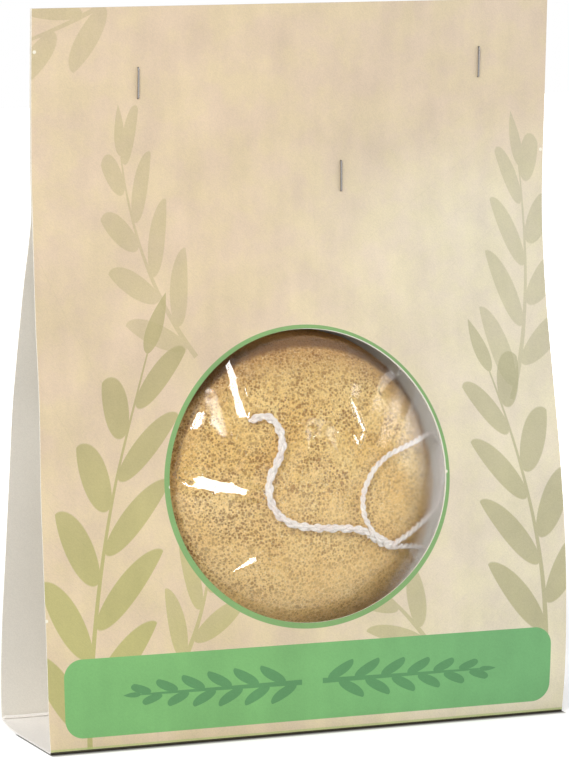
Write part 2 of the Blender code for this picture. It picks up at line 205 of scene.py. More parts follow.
loop_route = [
    (0.0166, 0.016, -0.01), (0.0152, 0.0165, -0.0074), (0.0145, 0.0166, -0.0024),
    (0.0155, 0.0165, 0.0014), (0.0181, 0.0161, 0.0056), (0.022, 0.0152, 0.0087),
    (0.0276, 0.0134, 0.0107), (0.0329, 0.0107, 0.012), (0.0374, 0.007, 0.0129),
    (0.0412, 0.003, 0.0122), (0.0432, 0.001, 0.0095), (0.0443, 0.0005, 0.0048),
    (0.0444, 0.0006, -0.0006), (0.0431, 0.0018, -0.0053), (0.04, 0.0052, -0.0086),
    (0.0352, 0.0096, -0.0107), (0.03, 0.0121, -0.0134), (0.0265, 0.0134, -0.0149),
]
tail_route = [
    (0.0264, 0.0131, -0.0166), (0.0285, 0.0121, -0.0168), (0.0327, 0.0094, -0.0175),
    (0.0368, 0.006, -0.0188), (0.0398, 0.0024, -0.0212), (0.0398, 0.0008, -0.0242),
    (0.0375, 0.0008, -0.0275), (0.0342, 0.0008, -0.0312),
]


def run_along(line):
    """How far along a line each of its points lies."""
    return np.concatenate(([0.0], np.cumsum(np.linalg.norm(np.diff(line, axis=0), axis=1))))


def line_length(line):
    return float(run_along(line)[-1])


def smooth_line(route, step=0.0003):
    """Evenly spaced points, in the frame's metres, on a smooth curve through a route on the sponge."""
    spots = np.array([sponge_centre + Vector((right, -out, up)) for right, out, up in route])
    run = run_along(spots)
    places = np.linspace(0, run[-1], round(run[-1] / step) + 1)
    return np.column_stack([along(np.column_stack((run, spots[:, i])), places) for i in range(3)])


def carried_sides(line):
    """Two directions square to a line at each point, carried along it without twisting."""
    forward = np.gradient(line, axis=0)
    forward /= np.linalg.norm(forward, axis=1)[:, None]
    side = np.cross(forward[0], (0, 0, 1))
    sides = []
    for direction in forward:
        side = side - direction * np.dot(side, direction)
        side /= np.linalg.norm(side)
        sides.append(side)
    return np.array(sides), np.cross(forward, np.array(sides))


inward = np.array(hole_direction) / np.linalg.norm(hole_direction)
sunk_shares = (1, 0.66, 0.36, 0.15)
sunk_route = [tuple(np.array(stem_route[0]) - inward * hole_depth * share) for share in sunk_shares]
whole_stem = smooth_line(sunk_route + stem_route)
right, out, up = stem_route[0]
mouth = np.array(sponge_centre + Vector((right, -out, up)))
mouth_at = int(np.argmin(np.linalg.norm(whole_stem - mouth, axis=1)))
stem_line = whole_stem[mouth_at:]
knot_line, loop_line, tail_line = smooth_line(knot_route), smooth_line(loop_route), smooth_line(tail_route)
for title, line in (("stem", stem_line), ("knot", knot_line), ("loop", loop_line), ("tail", tail_line)):
    print(title, "is", round(line_length(line) * 1000, 1), "mm long")


# %% Mesh helpers
def quads(number):
    """Faces between neighbouring points of a grid of point numbers."""
    corners = (number[:-1, :-1], number[:-1, 1:], number[1:, 1:], number[1:, :-1])
    return np.stack(corners, axis=-1).reshape(-1, 4)


def mesh_object(name, points, faces, finishes=(), slots=None):
    """A mesh from points and faces, its sides turned outwards, shaded smooth."""
    mesh = bpy.data.meshes.new(name)
    mesh.from_pydata([tuple(point) for point in points], [], [tuple(map(int, face)) for face in faces])
    for finish in finishes:
        mesh.materials.append(finish)
    if slots is not None:
        mesh.polygons.foreach_set("material_index", np.asarray(slots, np.int32))
    bm = bmesh.new()
    bm.from_mesh(mesh)
    bmesh.ops.recalc_face_normals(bm, faces=bm.faces)
    bm.to_mesh(mesh)
    bm.free()
    mesh.shade_smooth()
    mesh.set_sharp_from_angle(angle=math.radians(40))
    return new_object(name, mesh)


# %% Plies wound into a cord
strand_unevenness, ply_unevenness = 0.06, 0.07


def ply_tube(line, radius, sides=8):
    """Points and faces of one closed ply along its line; radius may change along it."""
    side, up = carried_sides(line)
    turns = np.linspace(0, 2 * math.pi, sides, endpoint=False)
    radius = np.broadcast_to(radius, len(line))[:, None, None]
    ring = np.cos(turns)[None, :, None] * side[:, None] + np.sin(turns)[None, :, None] * up[:, None]
    points = (line[:, None] + radius * ring).reshape(-1, 3)
    number = np.arange(len(points)).reshape(len(line), sides)
    faces = [tuple(face) for face in quads(np.column_stack((number, number[:, 0])))]
    return points, faces + [tuple(number[0]), tuple(number[-1][::-1])]


def wound_cord(name, line, strands=1, winding=0.01, strand_offset=0, ply_winding=0.0044, ply_offset=0.00035,
               ply_radius=0.00044, swell=0):
    """Strands wound round the line, each made of two plies that wind the other way."""
    side, up = carried_sides(line)
    run = run_along(line)
    belly = 1 + swell * np.sin(math.pi * run / run[-1])
    points, faces = [], []

    def wound(middle, turn, out):
        return middle + out * (np.cos(turn)[:, None] * side + np.sin(turn)[:, None] * up)

    for strand in range(strands):
        turn = 2 * math.pi * (run / winding + strand / strands)
        wave = 1 + strand_unevenness * np.sin(run * 900 + 2.1 * strand)
        middle = wound(line, turn, (strand_offset * belly * wave)[:, None])
        for ply in range(2):
            twist = -2 * math.pi * (run / ply_winding + ply / 2) + strand
            uneven = ply_radius * (1 + ply_unevenness * np.sin(run * 2300 + 3 * ply + strand))
            spots, sides = ply_tube(wound(middle, twist, ply_offset), uneven)
            faces += [tuple(np.array(face) + len(points) * len(spots)) for face in sides]
            points.append(spots)
    return mesh_object(name, np.concatenate(points), faces)


sunk_points = 8
stem = wound_cord("stem_cord", whole_stem[mouth_at - sunk_points:], strands=2, winding=0.0084,
                  strand_offset=0.00048, ply_winding=0.0046, ply_offset=0.00033, ply_radius=0.00046)
loop = wound_cord("loop_cord", loop_line)
tail = wound_cord("tail_cord", tail_line, ply_winding=0.0046)

# %% The knot: three strands wound tight, and the ends that run into it
knot_parts = [wound_cord("knot", knot_line, strands=3, winding=0.0085, strand_offset=0.00056,
                         ply_winding=0.0046, ply_offset=0.00033, ply_radius=0.00047, swell=0.35)]
into_knot = [
    [loop_route[0], (0.0172, 0.0163, -0.0112), (0.0186, 0.0166, -0.0126), (0.0206, 0.0164, -0.0141)],
    [loop_route[-1], (0.0252, 0.0141, -0.0154), (0.0236, 0.015, -0.0157), (0.0216, 0.0158, -0.0152)],
    [tail_route[0], (0.025, 0.0137, -0.0166), (0.0234, 0.0144, -0.0163), (0.0216, 0.015, -0.0154)],
]
for number, route in enumerate(into_knot):
    knot_parts.append(wound_cord(f"knot_end_{number}", smooth_line(route)))
knot = knot_parts[0]
with bpy.context.temp_override(active_object=knot, selected_editable_objects=knot_parts):
    bpy.ops.object.join()
print("knot", len(knot.data.vertices), "points")
for piece, node in ((stem, "cord_stem"), (knot, "cord_knot"), (loop, "cord_loop"), (tail, "cord_tail")):
    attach(piece, "pouch")
    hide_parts(node)

# %% Say what each free cord is
print("cords", [piece.name for piece in (stem, knot, loop, tail)])

# %% [markdown]
# The finishes are built from nodes. A small helper places nodes and joins them, and lets their outputs
# take part in plain sums, so that each recipe below reads as the steps of a printer or a spinner would: a
# colour, what breaks it up, what raises it. Placing each node by hand would hide those steps.

# %% Values that take part in sums
def ink(red, green, blue):
    """An 8-bit screen colour as the linear colour that a shader takes."""
    shares = [part / 255 for part in (red, green, blue)]
    return (*(share / 12.92 if share <= 0.04 else ((share + 0.055) / 1.055) ** 2.4 for share in shares), 1)


def sign(operation, turned=False):
    """An arithmetic sign, which places one Math node between two values."""
    def placed(value, other):
        return value.recipe.calc(operation, *((other, value) if turned else (value, other)))
    return placed


class Value:
    """A node's output, ready for plain sums."""
    __add__, __truediv__, __pow__ = sign("ADD"), sign("DIVIDE"), sign("POWER")
    __sub__, __rsub__ = sign("SUBTRACT"), sign("SUBTRACT", True)
    __mul__, __rmul__ = sign("MULTIPLY"), sign("MULTIPLY", True)
    __gt__, __lt__ = sign("GREATER_THAN"), sign("LESS_THAN")

    def __init__(self, recipe, socket):
        self.recipe, self.socket = recipe, socket

    def __abs__(self):
        return self.recipe.calc("ABSOLUTE", self)


# %% A helper for node recipes
class Recipe:
    """Places nodes in one tree. What goes in is a number, a colour or a value from another node."""

    def __init__(self, tree):
        self.tree = tree

    def feed(self, sockets, inputs):
        for key, value in inputs.items():
            if isinstance(value, Value):
                self.tree.links.new(value.socket, sockets[key])
            else:
                sockets[key].default_value = value

    def paint(self, **inputs):
        """Feeds the material's own shader."""
        shader = self.tree.nodes["Principled BSDF"]
        self.feed(shader.inputs, {key.replace("_", " "): value for key, value in inputs.items()})

    def node(self, kind, inputs, *outputs, **settings):
        """Adds a node and gives the outputs that are named, or its first one."""
        made = self.tree.nodes.new("ShaderNode" + kind)
        for name, value in settings.items():
            setattr(made, name, value)
        self.feed(made.inputs, inputs)
        values = [Value(self, made.outputs[key]) for key in outputs or (0,)]
        return values if len(values) > 1 else values[0]

    def calc(self, operation, *values):
        return self.node("Math", dict(enumerate(values)), operation=operation)

    def larger(self, first, second=0):
        return self.calc("MAXIMUM", first, second)

    def past(self, value, half):
        """How far a value lies past a half width, on either side, and 0 within it."""
        return self.larger(abs(value) - half)

    def reach(self, right, up):
        """The length of a step to the right and up."""
        step = self.node("CombineXYZ", {"X": right, "Z": up})
        return self.node("VectorMath", {0: step}, "Value", operation="LENGTH")

    def ease(self, value, low, high, start=0, end=1):
        """start below low, end above high, and smooth between."""
        return self.node("MapRange", {"Value": value, "From Min": low, "From Max": high, "To Min": start,
                                      "To Max": end}, "Result", interpolation_type="SMOOTHSTEP")

    def within(self, value, edge, blur=0.00005):
        """1 where a value is below an edge and 0 above it, with a little blur as ink on paper has."""
        return self.ease(value, edge - blur, edge + blur, 1, 0)

    def blend(self, share, first, second, way="MIX"):
        # Mix has its colours in sockets 6 and 7 and output 2.
        return self.node("Mix", {0: share, 6: first, 7: second}, 2, data_type="RGBA", blend_type=way)

    def split(self, place):
        return self.node("SeparateXYZ", {"Vector": place}, "X", "Y", "Z")

    def stretch(self, place, *scale):
        return self.node("Mapping", {"Vector": place, "Scale": scale})

    def speckle(self, place, scale, detail=2, roughness=0.5):
        return self.node("TexNoise", {"Vector": place, "Scale": scale, "Detail": detail,
                                      "Roughness": roughness}, "Fac")

    def bump(self, height, distance):
        return self.node("Bump", {"Height": height, "Distance": distance}, "Normal")

    def seen_rays(self):
        """1 for the camera's rays and for those in gloss and glass, 0 for light on its way to a piece."""
        direct, glossy, through = self.node("LightPath", {}, "Is Camera Ray", "Is Glossy Ray",
                                            "Is Transmission Ray")
        return self.larger(direct, self.larger(glossy, through))


def recipe_group(name, inputs, outputs):
    """A node group; gives its recipe, the values that come in and the sockets that go out."""
    tree = bpy.data.node_groups.new(name, "ShaderNodeTree")
    for way, labels in (("INPUT", inputs), ("OUTPUT", outputs)):
        for label in labels:
            kind = "NodeSocketVector" if label == "Place" else "NodeSocketFloat"
            tree.interface.new_socket(label, in_out=way, socket_type=kind)
    recipe, given = Recipe(tree), tree.nodes.new("NodeGroupInput").outputs
    return recipe, [Value(recipe, given[label]) for label in inputs], tree.nodes.new("NodeGroupOutput").inputs


def new_finish(name, **plain):
    """A material with its shader's plain values set; gives it, its recipe and the place on the piece."""
    made = bpy.data.materials.new(name)
    made.use_nodes = True
    recipe = Recipe(made.node_tree)
    recipe.paint(**plain)
    return made, recipe, recipe.node("TexCoord", {}, "Object")


def nodes_in(made):
    return f"{made.name}: {len(made.node_tree.nodes)} nodes"


print("recipe steps", [step for step in vars(Recipe) if step[0] != "_"])

# %% [markdown]
# Board is pressed from fibres. Printed or bare, its colour drifts a little over centimetres, its surface
# is pebbled at a fraction of a millimetre, and short fibres show where it isn't coated. Every side of the
# card shares this group and sets how strongly each shows.

# %% Board grain, shared by every side of the card
grain, (place, drift_share, fibre_share), result = recipe_group(
    "Board grain", ("Place", "Drift", "Fibre"), ("Shade", "Height"))
clouds = grain.speckle(place, 45, 3, 0.6)
streaks = grain.speckle(grain.stretch(place, 1, 1, 0.22), 170)
pebble = grain.speckle(place, 2600, 2, 0.6)
fibres = grain.node("TexWave", {"Vector": place, "Scale": 500, "Distortion": 14, "Detail": 2,
                                "Detail Scale": 2}, "Fac", wave_type="BANDS", bands_direction="DIAGONAL")
drift = (clouds - 0.5) + (streaks - 0.5) * 0.5
grain.feed(result, {"Shade": drift * drift_share + 1 + (fibres - 0.5) * fibre_share,
                    "Height": pebble + fibres * fibre_share})
board_grain = grain.tree
print("group", board_grain.name, len(board_grain.nodes), "nodes")


# %% How a side of the board takes its grain
def grained(recipe, place, drift, fibre):
    """The grain's shade and height on one side of the board."""
    return recipe.node("Group", {"Place": place, "Drift": drift, "Fibre": fibre}, "Shade", "Height",
                       node_tree=board_grain)


def press(recipe, place, colour, drift, fibre, depth, rough, full=0.8):
    """Shade a side's colour by its grain, and raise and roughen its surface by the same grain."""
    shade, height = grained(recipe, place, drift, fibre)
    recipe.paint(Base_Color=recipe.blend(1, colour, shade, "MULTIPLY"),
                 Roughness=recipe.ease(height, 0.2, full, *rough), Normal=recipe.bump(height, depth))


def tinted(recipe, place, colour):
    """Faint pink and yellow clouds in the beige of the paper."""
    cloud = recipe.ease(recipe.speckle(place, 110, 4, 0.6), 0.34, 0.66)
    return recipe.blend(0.22, colour, recipe.blend(cloud, ink(222, 196, 182), ink(232, 216, 166)))


# %% [markdown]
# The front is printed: beige paper, a green band, a green ring round the window, and pale olive sprigs.
# A sprig is a stem with pairs of leaves. One group draws a whole sprig from its foot, turn and length:
# the place along the stem is cut into equal cells, and each cell holds one leaf on either side. Leaves
# cut out of mesh would stand proud of the board, while print has no thickness.

# %% One printed sprig as a node group
sprig_inputs = ("Place", "Foot X", "Foot Z", "Turn", "Length", "Leaf", "Spacing", "Bend")
leaf_slant, leaf_stagger, leaf_half, tip_half = 1.15, 0.2, 0.8, 0.42
full_leaf, leaf_loss = 1.05, 0.55
stem_half, stem_loss = 0.00075, 0.0005

sprig, (place, foot_x, foot_z, turn, length, leaf, spacing, bend), result = recipe_group(
    "Printed sprig", sprig_inputs, ("Mask",))
x, y, z = sprig.split(place)
from_foot = sprig.node("CombineXYZ", {"X": x - foot_x, "Z": z - foot_z})
sideways, _, run = sprig.split(sprig.node("VectorRotate", {"Vector": from_foot, "Angle": turn},
                                          rotation_type="Y_AXIS"))
offset = sideways - bend * (run * run)
aside = abs(offset)
in_cells = (run - aside * leaf_slant - sprig.calc("SIGN", offset) * spacing * leaf_stagger) / spacing
cell = sprig.calc("FLOOR", in_cells)
in_cell = abs(in_cells - cell - 0.5)
cell_run = (cell + 0.5) * spacing
along_stem = cell_run / length
leaf_share = aside / (leaf * (full_leaf - along_stem * along_stem * leaf_loss))
leaf_outline = leaf_share ** 0.6 * sprig.larger(1 - leaf_share) ** 0.75
on_stem = (cell_run > 0) * (cell_run < length)
leaf_mask = sprig.ease(leaf_outline * leaf_half - in_cell, -0.01, 0.02) * on_stem
stem_edge = stem_half - run / length * stem_loss - aside
stem_mask = sprig.ease(stem_edge, -0.00005, 0.00008) * ((run > 0) * (run < length))
tip_share = (run - length) / leaf
tip_outline = sprig.larger(tip_share) ** 0.6 * (sprig.larger(1 - tip_share) * leaf)
tip_mask = sprig.ease(tip_outline * tip_half - aside, 0, 0.00012)
sprig.feed(result, {"Mask": sprig.larger(leaf_mask, sprig.larger(stem_mask, tip_mask))})
printed_sprig = sprig.tree
print("group", printed_sprig.name, len(printed_sprig.nodes), "nodes")


# %% Where the sprigs are printed: foot right, foot up, turn, length, leaf, spacing, bend, strength
def sprig_mask(recipe, place, *numbers):
    return recipe.node("Group", dict(zip(sprig_inputs, (place, *numbers))), node_tree=printed_sprig)


sprigs = [
    (-0.076, 0.112, 0.55, 0.088, 0.0155, 0.019, -2.5, 0.6),
    (-0.052, 0.201, 2.1, 0.052, 0.0125, 0.0155, 4, 0.42),
    (0.077, 0.14, -0.78, 0.078, 0.015, 0.0185, 3, 0.58),
    (0.062, 0.088, -0.36, 0.062, 0.0135, 0.0165, -4.5, 0.5),
    (-0.03, 0.104, 0.62, 0.056, 0.012, 0.015, 5, 0.46),
    (-0.064, 0, -0.03, 0.106, 0.0165, 0.02, 1.5, 0.85),
    (-0.038, 0.02, -0.5, 0.036, 0.0115, 0.014, -6, 0.62),
    (0.069, 0.02, 0.02, 0.076, 0.015, 0.0185, -2, 0.7),
    (0.036, 0.02, 0.6, 0.034, 0.011, 0.0135, -5, 0.55),
]

# %% The printed side of the front panel
printed, paper, place = new_finish("printed_beige_board", Roughness=0.46)
x, y, z = paper.split(place)
rise, to_header, to_right = paper.ease(z, 0.02, 0.12), paper.ease(z, 0.135, 0.175), paper.ease(x, -0.03, 0.07)
beige = paper.blend(to_right, paper.blend(rise, ink(217, 197, 163), ink(216, 195, 164)),
                    paper.blend(to_header, ink(225, 218, 194), ink(213, 196, 170)))
olive = paper.blend(to_right, paper.blend(rise, ink(176, 172, 104), ink(178, 166, 120)),
                    paper.blend(rise, ink(166, 162, 116), ink(176, 172, 136)))
colour = tinted(paper, place, beige)
for *numbers, strength in sprigs:
    colour = paper.blend(sprig_mask(paper, place, *numbers) * strength, colour, olive)

# %% The green ring and band, the rubbed crease at the foot, and the nicked edges
ring_middle, ring_radius = (0.00065, 0.07), 0.04117
blank_middle, blank_radius = (0.00115, 0.0704), 0.0397
band_up, band_half, band_half_height, band_corner = 0.0142, 0.0655, 0.0056, 0.005
nicks = ((-0.0388, 0.0694), (0.0408, 0.0694), (-0.0748, 0.0356), (-0.0742, 0.187), (0.0743, 0.1565))
band_sprig = (0.046, 0.0052, 0.0078, 0)

ring = paper.within(paper.reach(x - ring_middle[0], z - ring_middle[1]), ring_radius)
blank = paper.within(paper.reach(x - blank_middle[0], z - blank_middle[1]), blank_radius, 0.00004)
corner = paper.reach(paper.past(x, band_half), paper.past(z - band_up, band_half_height))
colour = paper.blend(paper.within(corner, band_corner), colour,
                     paper.blend(to_right, ink(121, 179, 109), ink(112, 172, 112)))
for way in (-1, 1):
    mask = sprig_mask(paper, place, 0.003 * way, band_up, -way * math.pi / 2, *band_sprig)
    colour = paper.blend(mask * 0.8, colour, ink(76, 132, 84))
colour = paper.blend(paper.ease(z, 0.001, 0.0013, 0.7, 0), colour, ink(186, 202, 124))
colour = paper.blend(ring, colour, ink(127, 166, 104))
colour = paper.blend(blank, colour, ink(238, 234, 222))
for nick_x, nick_z in nicks:
    nick = paper.within(paper.reach(x - nick_x, z - nick_z), 0.000475, 0.000125)
    colour = paper.blend(nick, colour, ink(240, 234, 216))
press(paper, place, colour, drift=0.36, fibre=0.07, depth=0.000012, rough=(0.42, 0.52))
print(nodes_in(printed))


# %% The bare sides and the cut edge of the board
def board_side(name, colour, drift=0.05, fibre=0.05, roughness=0.72, depth=0.00003):
    made, recipe, place = new_finish(name, Roughness=roughness)
    press(recipe, place, colour, drift, fibre, depth, rough=(roughness - 0.06, roughness + 0.06), full=0.9)
    return made


base_white = ink(250, 246, 240)
plain_board = board_side("bare_white_board", ink(233, 228, 217))
base_board = board_side("white_base_board", base_white, drift=0.04)
cut_edge = board_side("cut_board_edge", ink(240, 234, 222), drift=0.08, fibre=0.16, roughness=0.85,
                      depth=0.00005)
print("board sides:", plain_board.name, base_board.name, cut_edge.name)

# %% The base is white inside; the front's print runs on round the fold, and under the fold the base's edge is painted dark as shade
base_with_painted_fold_shade, recipe, place = new_finish("white_base_and_painted_fold_shade", Roughness=0.72)
x, y, z = recipe.split(place)
shade, height = grained(recipe, place, 0.04, 0.05)
# Painted shade: the base's front edge under the fold is coloured dark brown for the fold's shadow and the
# contact line.
painted_fold_shade = recipe.ease(y, -0.0203, -0.0195, 1, 0) * recipe.ease(z, 0.0006, 0.0008, 1, 0)
white = recipe.blend(1, base_white, shade, "MULTIPLY")
recipe.paint(Base_Color=recipe.blend(painted_fold_shade, white, ink(58, 52, 34)), Normal=recipe.bump(height, 0.00003))
print(nodes_in(base_with_painted_fold_shade))

# %% The outer side of the back: the same inks, a narrow band and two sprigs
back_print, paper, place = new_finish("printed_back_board", Roughness=0.48)
x, y, z = paper.split(place)
colour = tinted(paper, place, ink(226, 210, 182))
for foot_x, turn, length in ((-0.062, 0.12, 0.096), (0.06, -0.22, 0.078)):
    mask = sprig_mask(paper, place, foot_x, 0.018, turn, length, 0.015, 0.019, 2)
    colour = paper.blend(mask * 0.7, colour, ink(182, 176, 122))
colour = paper.blend(paper.within(abs(z - 0.0125), 0.004), colour, ink(118, 177, 110))
press(paper, place, colour, drift=0.24, fibre=0.05, depth=0.000012, rough=(0.44, 0.54))
print(nodes_in(back_print))

# %% [markdown]
# The card is one strip of board. The front panel's window is die-cut, so its edge is a clean ring of
# white core. Each panel is two skins a board's thickness apart, closed by the cut edge, because a single
# surface would show no thickness at the window and along the left side. Scoring leaves a thin bead of
# board inside the rear crease, which is a piece of its own.

# %% Two skins and an edge
def skins(name, x, z, surface, thickness, finishes, closed, small=0.0002):
    """A bent board: a grid of places on a surface, thickened square to it. finishes: front, back, edge."""
    slope_x = (surface(x + small, z) - surface(x - small, z)) / (2 * small)
    slope_z = (surface(x, z + small) - surface(x, z - small)) / (2 * small)
    outward = np.stack((slope_x, -np.ones_like(slope_x), slope_z), axis=-1)
    outward /= np.linalg.norm(outward, axis=-1)[..., None]
    middle = np.stack((x, surface(x, z), z), axis=-1)
    count = x.size
    points = np.concatenate([(middle + outward * thickness / 2 * way).reshape(-1, 3) for way in (1, -1)])
    number = np.arange(count).reshape(x.shape)
    if closed:
        number = np.column_stack((number, number[:, 0]))
    edges = [number[0], number[-1]] + ([] if closed else [number[:, 0], number[:, -1]])
    front = quads(number)
    rims = np.concatenate([quads(np.stack((edge, edge + count))) for edge in edges])
    faces = np.concatenate((front, front[:, ::-1] + count, rims))
    slots = np.repeat((0, 1, 2), (len(front), len(front), len(rims)))
    return mesh_object(name, points, faces, finishes, slots)


# %% The front panel, drawn as rays from the window to the border
side_rays, ray_steps, crowding = 96, 40, 1.1
left, right = -half_width - window_right, half_width - window_right
low, high = crease_low - window_height, card_height - window_height
corners = np.arctan2((low, low, high, high), (left, right, right, left))
turns = np.concatenate([np.linspace(start, end, side_rays, endpoint=False)
                        for start, end in zip(corners, np.append(corners[1:], corners[0] + 2 * math.pi))])
across, up = np.cos(turns), np.sin(turns)
rays = np.minimum(np.where(across > 0, right, left) / across, np.where(up > 0, high, low) / up)
reach = window_radius + (rays - window_radius) * np.linspace(0, 1, ray_steps + 1)[:, None] ** crowding
front_card = skins("front_card", window_right + reach * across, window_height + reach * up, front_y,
                   card_thickness, (printed, plain_board, cut_edge), closed=True)
# The cut faces come after both skins, first the window's, then the border's, which starts with the foot,
# where the print runs on round the fold.
foot_face = (2 * ray_steps + 1) * len(turns)
for face in front_card.data.polygons[foot_face:foot_face + side_rays]:
    face.material_index = 0
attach(front_card, "front")
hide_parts("front_panel")
print("front card", len(front_card.data.polygons), "faces")

# %% The back panel
columns, rows = np.meshgrid(np.linspace(-half_width, half_width, 31),
                            np.linspace(rear_crease_low, card_height, 81))
back_card = skins("back_card", columns, rows, back_y, card_thickness, (plain_board, back_print, cut_edge),
                  closed=False)
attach(back_card, "back")
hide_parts("back_panel")
print("back card", len(back_card.data.polygons), "faces")

# %% The bead that the scoring leaves inside the rear crease
bead_inset, bead_depth, bead_up, bead_radius = 0.0004, 0.0221, 0.00245, 0.0005
bead_x = np.linspace(-half_width + bead_inset, half_width - bead_inset, 90)
bead_line = np.column_stack((bead_x, bead_depth + 0.00012 * np.sin(bead_x * 130),
                             bead_up + 0.0001 * np.sin(bead_x * 210)))
bead_points, bead_faces = ply_tube(bead_line, bead_radius)
crease_bead = mesh_object("rear_crease_bead", bead_points, bead_faces, (base_board,))
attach(crease_bead, "base")
print("crease bead", len(crease_bead.data.polygons), "faces")

# %% [markdown]
# The sponge is plant fibre whipped into foam and set in a mould: a dome on a flat back, full of round
# pores from a tenth of a millimetre to one millimetre. The larger pores are pressed into the mesh, and
# the small ones are bump and painted shade in the material, because they are finer than any sensible mesh.

# %% Sponge shape with its pores
dome_power, back_power, side_lean = 2.6, 5, 0.8
pore_cells, pit_share, pit_depth, sunk = 430, 0.38, 0.00034, 0.00015
lump_waves = ((90, 0.00022), (300, 0.00014))
dimple_radius, dimple_overlap = 0.004, 0.0015
dimple_middle = mouth + np.array((0, -1, 0)) * (dimple_radius - dimple_overlap)

ball = bmesh.new()
bmesh.ops.create_icosphere(ball, subdivisions=7, radius=1.0)
for vert in ball.verts:
    direction = vert.co.normalized()
    share = min(math.hypot(direction.x, direction.z), 1)
    wide = sponge_radius * float(along(rim_shares, math.degrees(math.atan2(direction.z, direction.x)) % 360))
    dome, back = (math.sqrt(max(0, 1 - share ** power)) for power in (dome_power, back_power))
    depth = -dome_height * dome if direction.y < 0 else sponge_back * back
    spot = Vector((direction.x * wide, depth, direction.z * wide))
    cell = noise.voronoi(spot * pore_cells)[0][0]
    lumps = sum(noise.noise(spot * scale) * high for scale, high in lump_waves)
    pit = max(0, pit_share - cell) / pit_share
    normal = Vector((direction.x * side_lean, direction.y, direction.z * side_lean)).normalized()
    spot = spot + normal * (lumps - sunk - pit_depth * pit) + sponge_centre
    away = np.array(spot) - dimple_middle
    near = float(np.linalg.norm(away))
    if near < dimple_radius:
        spot = Vector(dimple_middle + away / near * dimple_radius)
    vert.co = spot
sponge_mesh = bpy.data.meshes.new("sponge_dome")
ball.to_mesh(sponge_mesh)
ball.free()
sponge_mesh.shade_smooth()
sponge_dome = new_object("sponge_dome", sponge_mesh)
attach(sponge_dome, "pouch")
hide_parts("sponge")
print("sponge", len(sponge_mesh.vertices), "points")

# %% Sponge finish
foam, recipe, place = new_finish("ochre_foam", Roughness=0.9, Subsurface_Weight=0.12, Subsurface_Scale=1,
                                 Subsurface_Radius=(0.0025, 0.0014, 0.0006))


def pore_layer(scale, smallest, spread, edge):
    """Round pores, one in each cell, every one of its own size: 1 in the pore, 0 outside."""
    colour, distance = recipe.node("TexVoronoi", {"Vector": place, "Scale": scale}, "Color", "Distance")
    own = recipe.node("SeparateColor", {"Color": colour})
    return recipe.ease(distance - (own * own * spread + smallest), 0, edge, 1, 0)


x, y, z = recipe.split(place)
wide_pores = pore_layer(620, 0.03, 0.27, 0.14)
pores = pore_layer(1180, 0.2, 0.26, 0.18)
fine_pores = pore_layer(2100, 0.26, 0.22, 0.2)
crowded = recipe.ease(recipe.speckle(place, 130), 0.35, 0.65, 0.6, 1)
upper_left = recipe.ease(x * 0.7 - (z - sponge_height), -0.006, 0.034, 1, 0.68)
# The pores are sunk by the bump and darkened in colour as painted shade in their holes.
holes = recipe.larger(pores * 0.9, recipe.larger(wide_pores * 0.8, fine_pores * 0.45)) * crowded * upper_left
# Fine bright specks: glossier and raised, and lightened in colour as painted glints.
threads_and_painted_glints = recipe.ease(recipe.speckle(place, 2100, 3, 0.7), 0.56, 0.66)

# %% The foam's colour: paler at the foot, with painted shade at the top, towards the rim and in the pores, and painted glints on the threads
wash = recipe.ease(recipe.speckle(place, 60, 3, 0.6), 0.3, 0.7)
to_rim = recipe.reach(x - 0.001, z - 0.064)
body = recipe.blend(wash, ink(236, 194, 112), ink(248, 216, 144))
body = recipe.blend(recipe.ease(z, 0.03, 0.09), recipe.blend(0.5, body, ink(240, 208, 152)), body)
# Painted shade at the outer rim: dark brown inside it, turning to a painted lighter brown at its very edge.
painted_rim_shading = recipe.blend(recipe.ease(to_rim, 0.0425, 0.045), ink(122, 81, 34), ink(244, 180, 98))
# Painted shade darkens the top and the rim where the card's edge shades the sponge, painted glints lighten
# the threads, and the pores are darkened.
for share, tone in ((recipe.ease(z, 0.086, 0.106, 0, 0.45), ink(186, 152, 100)),
                    (recipe.ease(to_rim, 0.0335, 0.0405, 0, 0.6), ink(200, 146, 80)),
                    (threads_and_painted_glints * 0.7, ink(255, 238, 188)), (holes * 0.92, ink(146, 94, 22)),
                    (recipe.ease(to_rim, 0.0402, 0.0416, 0, 0.9), painted_rim_shading)):
    body = recipe.blend(share, body, tone)
recipe.paint(Base_Color=body, Roughness=recipe.ease(threads_and_painted_glints, 0, 1, 0.92, 0.45),
             Normal=recipe.bump(threads_and_painted_glints * 0.35 - holes, 0.0003))
sponge_mesh.materials.append(foam)
print(nodes_in(foam))

# %% [markdown]
# Cotton is matt and lets a little light through. Its twist is in the mesh, so the finish only needs the
# short hairs that stand off it and the faint warm patches that undyed thread has.

# %% Cotton finish
cotton, recipe, place = new_finish("undyed_cotton", Roughness=0.88, Sheen_Weight=0.25, Subsurface_Weight=0.2,
                                   Subsurface_Scale=1, Subsurface_Radius=(0.0008, 0.0007, 0.0006))
fuzz = recipe.speckle(place, 5200, 3, 0.6)
soil = recipe.ease(recipe.speckle(place, 220), 0.35, 0.7)
tone = recipe.blend(soil, ink(244, 238, 231), ink(236, 224, 217))
recipe.paint(Base_Color=recipe.blend(recipe.ease(fuzz, 0.35, 0.65, 0.25, 0), tone, ink(206, 190, 182)),
             Normal=recipe.bump(fuzz, 0.00008))
for piece in (stem, knot, loop, tail):
    piece.data.materials.append(cotton)
print(nodes_in(cotton))

# %% [markdown]
# The pouch is thin clear film, glossy on both sides. It hangs from the header, is drawn over the dome,
# and its spare width falls into pleats and flat facets. Each facet catches the lamp as one bright patch.
# A closed shell with real thickness bends light as the film does; shadow rays pass it, as real film
# hardly darkens what lies under it.

